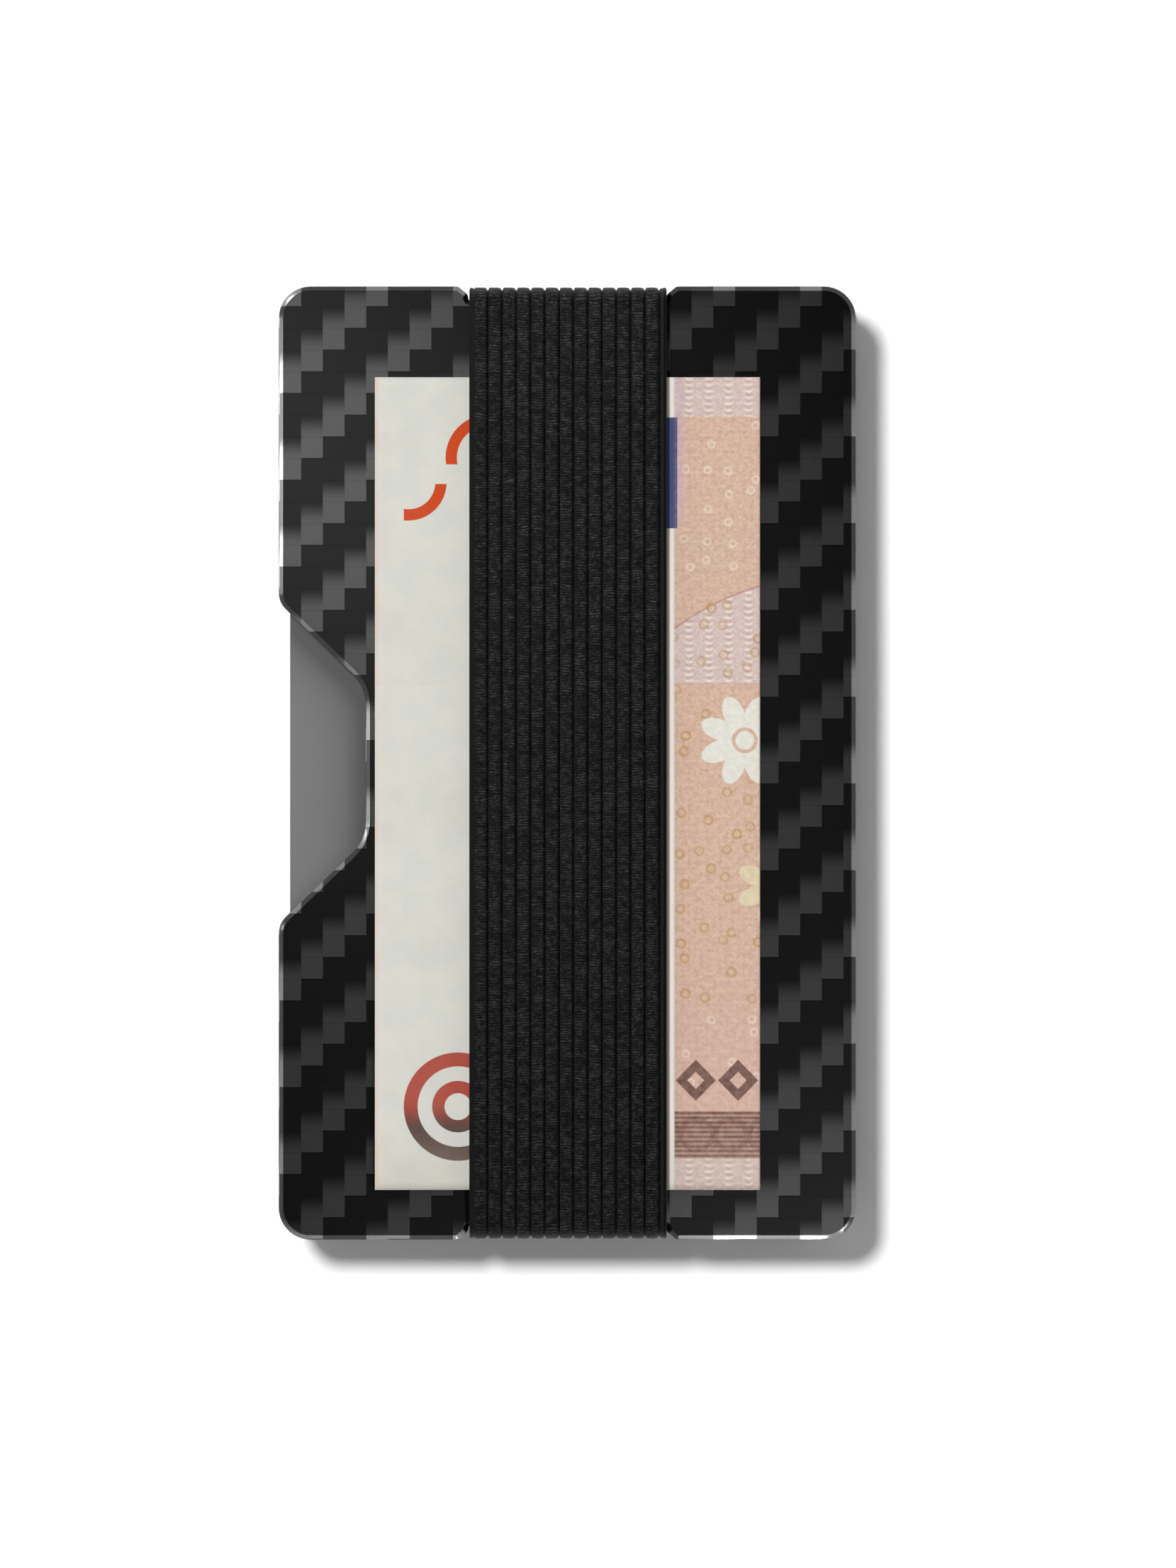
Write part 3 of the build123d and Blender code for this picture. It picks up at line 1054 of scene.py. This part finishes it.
@dataclass
class ElasticLoop:
    """A closed loop of ribbed elastic around both shells, closed by a zigzag seam underneath."""

    node: str
    piece: str
    slot: str
    finish: RibbedElastic
    thickness: float
    ribs: int
    end_round: float
    ramps: Sequence[tuple[float, float]] = ()
    ramp_round: float = 2.0 * MM
    row_step: float = 0.5 * MM
    groove_depth: float = 0.26 * MM
    overhang: float = 0.15 * MM
    seam_reach: float = 1.7 * MM
    seam_depth: float = 0.28 * MM
    rib_shape: Sequence[tuple[float, float]] = (
        (0.0, 0.45), (0.03, 0.12), (0.1, 0.03), (0.3, 0.0), (0.55, 0.0),
        (0.74, 0.1), (0.84, 0.4), (0.9, 1.0), (0.96, 1.0),
    )

    def __post_init__(self) -> None:
        """Read the loop's place from its CAD node."""
        self.low, self.high = (np.array(corner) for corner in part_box(self.node))
        self.half_width = (self.high[0] - self.low[0]) / 2
        self.selvage = self.finish.selvage_mm * MM

    def middle_line(self) -> np.ndarray:
        """The loop's middle line in the YZ plane, from the seam on.

        Returns:
            Rows of (y, z), counter-clockwise seen from +X.
        """
        half = self.thickness / 2
        near, far = self.low[1] + half, self.high[1] - half
        bottom, top = self.low[2] + half, self.high[2] - half
        shoulder = top if not self.ramps else top - (self.high[2] - self.ramps[0][1])
        corners = [(0.0, bottom, 0.0), (far, bottom, self.end_round), (far, shoulder, self.end_round)]
        corners += [(y, z - half, self.ramp_round) for y, z in self.ramps]
        corners += [(near, shoulder, self.end_round), (near, bottom, self.end_round)]
        return rounded_loop(corners, self.row_step)

    def section(self) -> np.ndarray:
        """The strip's section: ribbed outside, plain inside, with a rounded selvage at each side.

        Returns:
            Rows of (across, height above the middle line).
        """
        half, edge = self.thickness / 2, 0.24 * MM
        inner = self.half_width - self.selvage
        pitch = 2 * inner / self.ribs
        outer = []
        for rib in range(self.ribs):
            for share, depth in self.rib_shape:
                outer.append((-inner + (rib + share) * pitch, half - depth * self.groove_depth))
        outer.append((inner, half - 0.45 * self.groove_depth))
        turns = np.radians([75, 50, 20, -20, -50, -75])
        right = []
        for a in turns:
            side = self.half_width - edge + edge * math.cos(a)
            right.append((side, (half - edge) * np.sign(a) + edge * math.sin(a)))
        right = [(inner + 0.25 * self.selvage, half - 0.08 * MM)] + right
        under = [(x, -half) for x in np.linspace(inner, -inner, 2 * self.ribs)]
        left = [(-x, h) for x, h in reversed(right)]
        right = [(x + self.overhang * (x > inner + 0.3 * self.selvage), h) for x, h in right]
        return np.array(outer + right + under + left)

    def build(self) -> bpy.types.Object:
        """Sweep the section round the loop and press the seam in.

        Returns:
            The finished loop.
        """
        line = self.middle_line()
        normals, lengths = along_loop(line)
        section = self.section()
        whole = lengths[-1]
        to_seam = np.minimum(lengths[:-1], whole - lengths[:-1])
        past_seam = smooth_step(to_seam, self.seam_reach * 0.85, self.seam_reach * 1.1)
        pressed = self.seam_depth * (1 - past_seam)
        height = np.broadcast_to(section[:, 1], (len(line), len(section))).copy()
        outside = height > 0
        height -= np.where(outside, pressed[:, None], 0)
        places = line[:, None, :] + normals[:, None, :] * height[:, :, None]
        across = np.broadcast_to(section[:, 0], height.shape)
        grid = np.concatenate([across[:, :, None], places], 2)
        made = wrapped_grid(self.piece, grid, section[:, 0] / MM, lengths / MM)
        made.data.materials.append(self.finish.material())
        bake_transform(made)
        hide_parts(self.node)
        LOG.info("%s: %d rows round %.0f mm", self.piece, len(line), whole / MM)
        return made


@dataclass
class ZigzagSeam:
    """The zigzag of two-ply thread that closes an elastic loop."""

    node: str
    piece: str
    stitch_pitch: float = 1.1 * MM
    thread: float = 0.24 * MM
    twist_pitch: float = 0.55 * MM
    sides: int = 7
    step: float = 0.06 * MM

    def route(self) -> np.ndarray:
        """The thread's middle line: straight stitches with a tight bend at each needle hole.

        Returns:
            Rows of (x, y, z).
        """
        low, high = (np.array(corner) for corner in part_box(self.node))
        middle = (low + high) / 2
        stitches = round((high[0] - low[0]) / self.stitch_pitch)
        swing = (high[1] - low[1] - self.thread) / 2
        xs = middle[0] + (np.arange(stitches + 1) - stitches / 2) * self.stitch_pitch
        ys = middle[1] + swing * (-1.0) ** np.arange(stitches + 1)
        corners = np.stack([xs, ys, np.full(stitches + 1, middle[2])], 1)
        steps = int(np.hypot(self.stitch_pitch, 2 * swing) / self.step)
        share = np.arange(steps) / steps
        runs = [a + (b - a) * share[:, None] for a, b in zip(corners[:-1], corners[1:])]
        line = np.concatenate(runs + [corners[-1:]])
        for _ in range(3):
            line[1:-1] = (line[:-2] + 2 * line[1:-1] + line[2:]) / 4
        return line

    def build(self) -> bpy.types.Object:
        """Wind two plies round the route.

        Returns:
            The finished thread.
        """
        line = self.route()
        tangent = np.gradient(line, axis=0)
        tangent /= np.linalg.norm(tangent, axis=1, keepdims=True)
        up = np.array([0.0, 0.0, 1.0])
        side = np.cross(tangent, up)
        length = np.concatenate([[0], np.cumsum(np.linalg.norm(np.diff(line, axis=0), axis=1))])
        ply = self.thread / 4
        points, faces, uvs = [], [], []
        for phase in (0.0, math.pi):
            turn = length * math.tau / self.twist_pitch + phase
            centre = line + ply * (np.cos(turn)[:, None] * side + np.sin(turn)[:, None] * up)
            base = len(points)
            for i, middle in enumerate(centre):
                for j in range(self.sides):
                    angle = math.tau * j / self.sides
                    points.append(middle + ply * (math.cos(angle) * side[i] + math.sin(angle) * up))
            rows = len(centre)
            for i in range(rows - 1):
                for j in range(self.sides):
                    k = (j + 1) % self.sides
                    a, b = base + i * self.sides, base + (i + 1) * self.sides
                    faces.append((a + j, a + k, b + k, b + j))
                    first, last = j / self.sides, (j + 1) / self.sides
                    start, end = length[i] / MM, length[i + 1] / MM
                    uvs += [(first, start), (last, start), (last, end), (first, end)]
            for first, order in ((base, -1), (base + (rows - 1) * self.sides, 1)):
                faces.append(tuple(first + j for j in range(self.sides))[::order])
                uvs += [(0.0, 0.0)] * self.sides
        made = make_mesh(self.piece, np.array(points), faces, np.array(uvs))
        made.data.materials.append(SewingThread().material())
        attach(made, "rear_shell")
        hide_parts(self.node)
        LOG.info("%s: %d faces", self.piece, len(faces))
        return made


@dataclass
class Banknote:
    """A banknote folded in half twice, so that four layers lie under the band."""

    paper: float = 0.10 * MM
    rows: int = 96
    run_samples: int = 44
    free_edge_lift: float = 0.16 * MM
    band_half_width: float = 9.5 * MM
    crease_y: float = 7.7 * MM
    left_bend_gap: float = 0.25 * MM
    right_bend_gap: float = 0.2 * MM
    inner_edge_gap: float = 0.7 * MM

    def __post_init__(self) -> None:
        """Read the packet's place from its CAD node."""
        self.low, self.high = (np.array(corner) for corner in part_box("banknote"))

    def folded_line(self) -> np.ndarray:
        """The paper's middle line in the XZ plane, from the free edge of the top layer on.

        Returns:
            Rows of (x, z).
        """
        left, right = self.low[0], self.high[0]
        half = self.paper / 2
        levels = np.linspace(self.high[2] - half, self.low[2] + half, 4)
        outer = (levels[0] - levels[3]) / 2
        inner = (levels[1] - levels[2]) / 2
        hem = (levels[2] - levels[3]) / 2
        left_bend = left + half + hem + self.left_bend_gap
        right_bend = right - 3 * half - outer - self.right_bend_gap
        runs = [
            (left, right - half - outer, levels[0]),
            (right - half - outer, left_bend, levels[3]),
            (left_bend, right_bend, levels[2]),
            (right_bend, left + self.inner_edge_gap, levels[1]),
        ]
        bends = [(outer, -1, levels[0]), (hem, 1, levels[3]), (inner, 1, levels[2])]
        parts = []
        for i, (start, end, z) in enumerate(runs):
            xs = np.linspace(start, end, self.run_samples)
            parts.append(np.stack([xs, np.full(self.run_samples, z)], 1))
            if i < len(bends):
                radius, way, level = bends[i]
                angles = np.linspace(0, math.pi, 12)[1:-1]
                outward = 1 if i != 1 else -1
                bend_x = end + outward * radius * np.sin(angles)
                bend_z = level + way * radius * (1 - np.cos(angles))
                parts.append(np.stack([bend_x, bend_z], 1))
        return np.concatenate(parts)

    def lift(self, x: np.ndarray, y: np.ndarray, z: np.ndarray) -> np.ndarray:
        """How far the paper stands off its flat place: sprung edges, slow waves and one crease.

        Args:
            x, y, z: the flat places.

        Returns:
            The lift at each place.
        """
        share = (z - self.low[2]) / (self.high[2] - self.low[2])
        free = smooth_step(np.abs(x), self.band_half_width + 0.5 * MM, self.high[0])
        end = smooth_step(np.abs(y - (self.low[1] + self.high[1]) / 2), 30 * MM, 39 * MM)
        waves = 0.5 + 0.35 * np.sin(y / (7.3 * MM) + np.sign(x) * 1.1) + 0.15 * np.sin(y / (2.9 * MM))
        crease = -0.03 * MM * np.exp(-(((y - self.crease_y) / (0.35 * MM)) ** 2))
        return share * (free * self.free_edge_lift * (waves + 0.6 * end) + crease)

    def build(self) -> bpy.types.Object:
        """Returns:
            The finished note.
        """
        line = self.folded_line()
        tangent = np.gradient(line, axis=0)
        tangent /= np.linalg.norm(tangent, axis=1, keepdims=True)
        normal = np.stack([-tangent[:, 1], tangent[:, 0]], 1)
        length = np.concatenate([[0], np.cumsum(np.linalg.norm(np.diff(line, axis=0), axis=1))])
        ring = np.concatenate([line + normal * self.paper / 2, (line - normal * self.paper / 2)[::-1]])
        across = np.concatenate([length, length[::-1]]) / MM
        ys = np.linspace(self.low[1], self.high[1], self.rows)
        count, columns = len(line), len(ring)
        grid = np.zeros((self.rows, columns, 3))
        grid[:, :, 0] = ring[None, :, 0]
        grid[:, :, 1] = ys[:, None]
        grid[:, :, 2] = ring[None, :, 1]
        grid[:, :, 2] += self.lift(grid[:, :, 0], grid[:, :, 1], grid[:, :, 2])
        faces, uvs = [], []
        for i in range(self.rows - 1):
            start, end = ys[i] / MM, ys[i + 1] / MM
            here, ahead = i * columns, (i + 1) * columns
            for j in range(columns):
                k = (j + 1) % columns
                faces.append((here + j, ahead + j, ahead + k, here + k))
                uvs += [(across[j], start), (across[j], end), (across[k], end), (across[k], start)]
        for i, way in ((0, 1), (self.rows - 1, -1)):
            for j in range(count - 1):
                back = columns - 1 - j
                corners = [(i, j), (i, j + 1), (i, back - 1), (i, back)][::way]
                faces.append(tuple(row * columns + column for row, column in corners))
                uvs += [(across[column], ys[row] / MM) for row, column in corners]
        made = make_mesh("folded_banknote", grid.reshape(-1, 3), faces, np.array(uvs))
        made.data.materials.append(PrintedPaper().material())
        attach(made, "banknote")
        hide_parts("banknote")
        return made


@dataclass
class CardStack:
    """The cards in the pocket, lowest first, three of them with contact plates."""

    edge: float = 0.04 * MM
    chips: Sequence[int] = (2, 4, 5)
    designs: Sequence[tuple[CardArt, Colour, Colour]] = field(default_factory=lambda: [
        (CardArt.STRIPES, (0.50, 0.40, 0.26, 1.0), (0.66, 0.58, 0.44, 1.0)),
        (CardArt.WAVES, (0.02, 0.06, 0.22, 1.0), (0.12, 0.30, 0.58, 1.0)),
        (CardArt.FACETS, (0.02, 0.13, 0.09, 1.0), (0.10, 0.36, 0.22, 1.0)),
        (CardArt.RINGS, (0.012, 0.012, 0.014, 1.0), (0.30, 0.22, 0.10, 1.0)),
        (CardArt.PLAIN, (0.085, 0.085, 0.084, 1.0), (0.067, 0.067, 0.066, 1.0)),
    ])

    def build(self) -> None:
        """Dress each card in its own design and each chip in gold."""
        for number, (art, ground, accent) in enumerate(self.designs, 1):
            node = f"card_{number}"
            low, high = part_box(node)
            finish = CardPrint(f"{node}_print", art, ground, accent, low.z / MM, high.z / MM)
            soften_edges(dress(node, finish), self.edge)
            if number in self.chips:
                dress(f"{node}_chip", ChipContacts())
            LOG.info("%s: %s", node, art.value)


# ------------------------------------------------------------------------------ the studio


PLATES = ("front_plate", "rear_plate")


class Shine(Enum):
    """What an area light does: give matt surfaces their light, or give glossy ones a highlight."""

    MATT = "matt"
    GLOSS = "gloss"


@dataclass(frozen=True)
class Lamp:
    """A soft area light that looks at the wallet, or is flagged off all but the nodes in lights."""

    name: str
    shine: Shine
    place: tuple[float, float, float]
    size: tuple[float, float]
    watts: float
    lights: tuple[str, ...] = ()

    def build(self, aim: Sequence[float]) -> None:
        """Stand the lamp and turn it to its aim.

        Args:
            aim: the point it looks at.
        """
        lamp = bpy.data.lights.new(self.name, "AREA")
        lamp.shape = "ELLIPSE"
        lamp.size, lamp.size_y = self.size
        lamp.energy = self.watts
        made = bpy.data.objects.new(self.name, lamp)
        made.location = self.place
        made.rotation_euler = (made.location - Vector(aim)).to_track_quat("Z", "Y").to_euler()
        made.visible_camera = False
        made.visible_glossy = self.shine is Shine.GLOSS
        made.visible_diffuse = self.shine is Shine.MATT
        bpy.context.scene.collection.objects.link(made)
        if self.lights:
            flagged = bpy.data.collections.new(f"{self.name}_only")
            for node in self.lights:
                flagged.objects.link(cad_object(node))
            made.light_linking.receiver_collection = flagged


@dataclass
class Studio:
    """Pale floor, soft key from the upper left, low glossy lamps and a long lens straight above."""

    picture: tuple[int, int] = (1659, 2212)
    picture_height: float = 152.07 * MM
    centre: tuple[float, float] = (2.01 * MM, -2.03 * MM)
    lens_mm: float = 200.0
    sensor_mm: float = 36.0
    floor_reach: float = 3.0
    horizon: float = 1.25
    zenith: float = 0.009
    lamps: Sequence[Lamp] = (
        Lamp("key", Shine.MATT, (-0.36, 0.36, 1.4), (0.24, 0.24), 21.0),
        Lamp("fill", Shine.MATT, (0.30, -0.30, 1.5), (1.2, 1.2), 1.5),
        Lamp("pocket_fill", Shine.MATT, (0.46, 0.46, 0.50), (0.95, 0.95), 17.8, ("card_5",)),
        Lamp("band_key", Shine.MATT, (-0.02, 0.10, 0.13), (0.03, 0.03), 0.21, ("cash_band_knit",)),
        Lamp("left_sheen", Shine.GLOSS, (-0.035, 0.038, 0.165), (0.020, 0.087), 0.0198),
        Lamp("right_sheen", Shine.GLOSS, (0.040, -0.100, 0.152), (0.015, 0.015), 0.048, PLATES),
        Lamp("left_rim", Shine.GLOSS, (-0.21, 0.037, 0.018), (0.02, 0.02), 0.09, PLATES),
        Lamp("left_corner", Shine.GLOSS, (-0.070, 0.087, 0.022), (0.012, 0.012), 0.018, PLATES),
        Lamp("right_rim", Shine.GLOSS, (0.022, -0.18, 0.018), (0.02, 0.02), 0.06, PLATES),
        Lamp("right_corner", Shine.GLOSS, (0.078, -0.093, 0.022), (0.012, 0.012), 0.03, PLATES),
    )

    def floor(self) -> None:
        """The floor under the wallet."""
        signs = np.array([(-1, -1, 0), (1, -1, 0), (1, 1, 0), (-1, 1, 0)])
        corners = signs * self.floor_reach
        made = make_mesh("studio_floor", corners, [(0, 1, 2, 3)], corners[:, :2])
        made.location.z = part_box("cash_band")[0].z - 0.00002
        made.data.materials.append(StudioFloor().material())

    def sky(self) -> None:
        """A studio that is dark overhead and pale towards the horizon."""
        world = bpy.data.worlds.new("studio")
        world.use_nodes = True
        nodes, links = world.node_tree.nodes, world.node_tree.links
        nodes.clear()
        where = nodes.new("ShaderNodeTexCoord")
        split = nodes.new("ShaderNodeSeparateXYZ")
        ramp = nodes.new("ShaderNodeMapRange")
        ramp.interpolation_type = "SMOOTHSTEP"
        levels = {"From Min": 0.3, "From Max": 0.75, "To Min": self.horizon, "To Max": self.zenith}
        for socket, level in levels.items():
            ramp.inputs[socket].default_value = level
        back = nodes.new("ShaderNodeBackground")
        out = nodes.new("ShaderNodeOutputWorld")
        links.new(where.outputs["Generated"], split.inputs[0])
        links.new(split.outputs[2], ramp.inputs["Value"])
        links.new(ramp.outputs["Result"], back.inputs["Strength"])
        links.new(back.outputs[0], out.inputs[0])
        bpy.context.scene.world = world

    def camera(self) -> None:
        """The camera straight above, far enough back for the lens to take in the picture height."""
        data = bpy.data.cameras.new("camera")
        data.sensor_width = self.sensor_mm
        data.lens = self.lens_mm
        data.clip_end = 10.0
        away = self.picture_height * self.lens_mm / self.sensor_mm
        made = bpy.data.objects.new("camera", data)
        made.location = (*self.centre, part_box("front_plate")[1].z + away)
        bpy.context.scene.collection.objects.link(made)
        bpy.context.scene.camera = made

    def build(self) -> None:
        """Set the studio up round the finished wallet."""
        self.floor()
        self.sky()
        self.camera()
        for lamp in self.lamps:
            lamp.build((0.0, 0.0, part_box("front_plate")[1].z))
        scene = bpy.context.scene
        scene.view_settings.view_transform = "Standard"
        scene.view_settings.look = "None"
        LOG.info("studio ready for a %d x %d picture", *self.picture)


def main() -> None:
    """Build the wallet piece by piece, then the studio round it."""
    logging.basicConfig(level=logging.INFO, format="%(name)s: %(message)s")
    for side in ("front", "rear"):
        Shell(side).build()
    band_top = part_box("cash_band")[1].z
    band_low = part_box("front_plate")[1].z + BAND_GAP + BAND_THICKNESS
    cash_band = ElasticLoop(
        node="cash_band",
        piece="cash_band_knit",
        slot="ribbed_elastic",
        finish=RibbedElastic(),
        thickness=BAND_THICKNESS,
        ribs=13,
        end_round=1.0 * MM,
        ramps=list(zip(RAMP_ENDS, (band_low, band_top, band_top, band_low))),
    )
    cash_band.build()
    card_elastic = ElasticLoop(
        node="card_elastic",
        piece="card_elastic_webbing",
        slot="woven_elastic",
        finish=RibbedElastic(
            "plain_elastic", half_width_mm=7.0, selvage_mm=0.4, rib_mm=0.88, yarn_mm=0.3
        ),
        thickness=0.8 * MM,
        ribs=15,
        end_round=0.55 * MM,
        groove_depth=0.12 * MM,
        row_step=0.8 * MM,
    )
    card_elastic.build()
    ZigzagSeam("band_seam_thread", "band_seam_stitches").build()
    ZigzagSeam("elastic_seam_thread", "elastic_seam_stitches").build()
    Banknote().build()
    CardStack().build()
    Studio().build()


if __name__ == "__main__":
    main()
